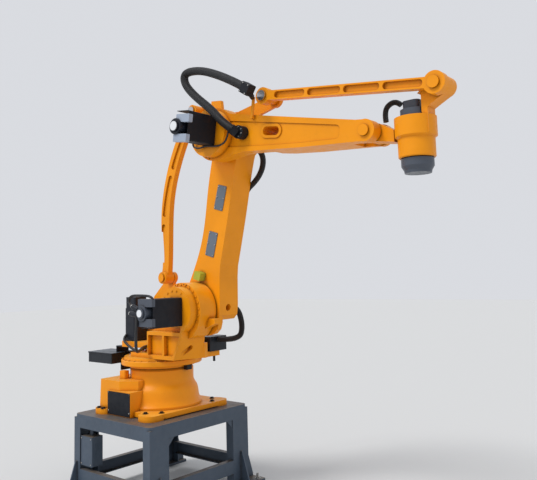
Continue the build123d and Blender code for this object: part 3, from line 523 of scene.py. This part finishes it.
axis3_cable_route = [
    beside(ELBOW, dx, dz, y)
    for dx, dz, y in (
        (0.228, -0.028, -0.240),
        (0.212, -0.085, -0.240),
        (0.160, -0.118, -0.240),
        (0.080, -0.116, -0.240),
        (0.0, -0.098, -0.240),
        (-0.080, -0.110, -0.240),
        (-0.140, -0.085, -0.245),
        (-0.110, -0.030, -0.255),
        (-0.045, -0.010, -0.260),
    )
]
cable("axis3_cable", axis3_cable_route, 0.0065, "upper_arm")

# Plugs beside the second motor, with a metal ring on each
PLUG_Y = -0.545
UPPER_PLUG_AXIS = (-1, 0, 0.36)
LOWER_PLUG_AXIS = (-1, 0, 0.14)
rounds("axis2_plugs", "turret", "motor_black", 24, [
    ((0.390, PLUG_Y, 1.428), UPPER_PLUG_AXIS, 0.019, 0.065),
    ((0.390, PLUG_Y, 1.388), LOWER_PLUG_AXIS, 0.019, 0.085),
])
rounds("axis2_plug_rings", "turret", "zinc", 24, [
    ((0.331, PLUG_Y, 1.449), UPPER_PLUG_AXIS, 0.014, 0.014),
    ((0.308, PLUG_Y, 1.3995), LOWER_PLUG_AXIS, 0.014, 0.016),
])

# Bolts of the hose flange and of the clamp at the dress hose's start
CLAMP_FROM_START = 0.038
flange_bolts = circle(beside(ELBOW, 0.285, -0.037, HOSE_FLANGE_FACE), "y", 0.037, 4, -75, 150)
round_bolts("hose_flange_bolts", "upper_arm", flange_bolts, FRONT, SCREW_RADIUS, "zinc")
hose_along = Vector((0.836, -0.548))
hose_across = Vector((0.548, 0.836))
clamp_middle = Vector((0.440, 0.236)) + hose_along * CLAMP_FROM_START
clamp_corners = [
    clamp_middle + hose_along * along + hose_across * across
    for along in (-0.026, 0.026)
    for across in (-0.030, 0.030)
]
clamp_bolts = [beside(ELBOW, corner.x, corner.y, CLAMP_FACE) for corner in clamp_corners]
round_bolts("hose_clamp_bolts", "upper_arm", clamp_bolts, FRONT, SCREW_RADIUS, "zinc")

# Floor anchors in the foot plates
anchor_spacing = next(mount["dims"] for mount in record["mounts"] if mount["name"] == "floor_anchors")
anchor_x = anchor_spacing["spacing_x_mm"] / 2000
anchor_y = anchor_spacing["spacing_y_mm"] / 2000
anchors = [(x, y, FOOT_PLATE_TOP) for x in (-anchor_x, anchor_x) for y in (-anchor_y, anchor_y)]
hex_bolts("anchor_nuts", "base", anchors, UP, 0.017, "zinc", 1.35)
rounds("anchor_studs", "base", "zinc", 16, [(anchor, UP, 0.01, 0.042) for anchor in anchors])

# Base bolts in the foot lobes and beside the connector cover
lobe_bolts = [
    (side_x * x, side_y * y, BASE_FOOT_TOP)
    for side_x, side_y in ((-1, 1), (1, -1), (1, 1))
    for x, y in ((0.300, 0.2625), (0.215, 0.3455))
]
side_bolts = [(x, -0.400, BASE_FOOT_TOP) for x in (-0.230, -0.288)]
hex_bolts("base_foot_bolts", "base", lobe_bolts + side_bolts, UP, 0.015, "black_bolt", 1.5)

# Painted bolts round the turning axes, and small dark discs of painted shade that stand for holes in the drum's
# face
ring_bolts = circle((0, 0, RING_TOP), "z", 0.311, 30)
round_bolts("ring_bolts", "turret", ring_bolts, UP, RING_BOLT_RADIUS, "orange_paint")
drum_bolts = circle((AXIS2[0], DRUM_FACE, AXIS2[1]), "y", 0.191, 16, -25, 215)
round_bolts("drum_bolts", "turret", drum_bolts, FRONT, BOLT_RADIUS, "orange_paint")
elbow_bolts = circle((ELBOW[0], ELBOW_FACE, ELBOW[1]), "y", 0.187, 5, 205, 45)
round_bolts("elbow_bolts", "upper_arm", elbow_bolts, FRONT, BOLT_RADIUS, "orange_paint")
# Painted shade: flat dark discs on the drum's face stand in for the shade inside holes
drum_hole_shades = circle((AXIS2[0], DRUM_FACE, AXIS2[1]), "y", 0.196, 8, 62, 66)
rounds("drum_hole_shades", "turret", "painted_hole_shade", 12, [(hole, FRONT, 0.0045, 0.0012) for hole in drum_hole_shades])
hub_bolts = circle((AXIS2[0], HUB_FACE, AXIS2[1]), "y", 0.148, 5, 60, 80)
round_bolts("hub_bolts", "turret", hub_bolts, FRONT, BOLT_RADIUS, "orange_paint")

# Dark stop block under the ring
bm = bmesh.new()
add_box(bm, (0.262, 0.300), (0.0, 0.050), (0.932, 0.970))
finish_mesh(bm, "ring_stop", "turret", "black_bolt")

# Screws in the connector cover and in the front of the junction box
cover_screws = [(x, COVER_BACK, z) for x in (-0.178, 0.077) for z in (0.645, 0.780)]
round_bolts("connector_cover_screws", "base", cover_screws, FRONT, COVER_SCREW_RADIUS, "zinc")
junction_screws = [(x, JUNCTION_FACE, z) for x in (-0.370, -0.250) for z in (0.247, 0.435)]
round_bolts("junction_box_screws", "base", junction_screws, FRONT, SCREW_RADIUS, "zinc")

# Cap on the pin of the curved link
link_pin_end = (LINK_PIN[0], LINK_PIN_FACE, LINK_PIN[1])
rounds("link_pin_cap", "turret", "orange_paint", 32, [(link_pin_end, FRONT, 0.03, 0.006)])

# White end caps on the motors
motor2_end = (AXIS2[0], MOTOR2_FACE, AXIS2[1])
rounds("axis2_motor_cap", "turret", "white_plastic", 32, [(motor2_end, FRONT, 0.026, 0.005)])
motor3_end = (ELBOW[0], MOTOR3_FACE, ELBOW[1])
rounds("axis3_motor_cap", "upper_arm", "white_plastic", 32, [(motor3_end, FRONT, 0.033, 0.005)])

# Screws of the cover plates on the lower arm
panel_screws = [
    in_frame(AXIS2, ARM_ANGLE, share * ARM_LENGTH + along, middle + across, PANEL_FACE)
    for share, middle in ((0.385, -0.018), (0.655, -0.022))
    for along in (-0.082, 0.0, 0.082)
    for across in (-0.036, 0.036)
]
round_bolts("cover_screws", "lower_arm", panel_screws, FRONT, SCREW_RADIUS, "zinc")

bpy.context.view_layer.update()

# Camera fitted to the photograph: its size and the fitted lens in pixels
PHOTO_WIDTH = 537.0
PHOTO_HEIGHT = 480.0
LENS_PX = 634.5782
LENS_CENTER_Y = 198.665
SENSOR_WIDTH = 36.0
TURN = math.radians(40.0388)
PITCH = math.radians(6.8146)
ROLL = math.radians(-1.6929)
EYE = Vector((4.0786, -3.4511, 1.6518))
look = Vector((-math.sin(TURN) * math.cos(PITCH), math.cos(TURN) * math.cos(PITCH), math.sin(PITCH)))
level_right = Vector((math.cos(TURN), math.sin(TURN), 0))
level_up = level_right.cross(look)
right = level_right * math.cos(ROLL) + level_up * math.sin(ROLL)
up = level_up * math.cos(ROLL) - level_right * math.sin(ROLL)
camera_data = bpy.data.cameras.new("camera")
camera_data.sensor_width = SENSOR_WIDTH
camera_data.lens = LENS_PX / PHOTO_WIDTH * SENSOR_WIDTH
camera_data.shift_y = -(PHOTO_HEIGHT / 2 - LENS_CENTER_Y) / PHOTO_WIDTH
camera = bpy.data.objects.new("camera", camera_data)
bpy.context.scene.collection.objects.link(camera)
view_matrix = Matrix((right, up, -look)).transposed().to_4x4()
view_matrix.translation = EYE
camera.matrix_world = view_matrix
bpy.context.scene.camera = camera

# Sky light, one soft sun and a pale floor
bpy.context.scene.view_settings.view_transform = "Standard"
world = bpy.data.worlds.new("world")
bpy.context.scene.world = world
world.use_nodes = True
sky = world.node_tree.nodes["Background"]
sky.inputs["Color"].default_value = (0.93, 0.95, 1.0, 1)
sky.inputs["Strength"].default_value = 0.75

SUN_DIRECTION = Vector((0.25, 0.7, -0.95))
sun_data = bpy.data.lights.new("key", "SUN")
sun_data.energy = 1.7
sun_data.angle = 0.35
sun = bpy.data.objects.new("key", sun_data)
sun.rotation_euler = Vector((0, 0, -1)).rotation_difference(SUN_DIRECTION.normalized()).to_euler()
bpy.context.scene.collection.objects.link(sun)

bpy.ops.mesh.primitive_plane_add(size=60)
floor = bpy.context.object
floor.name = "floor"
floor.data.materials.append(shader("floor", (0.62, 0.62, 0.61), 0.85)[0])
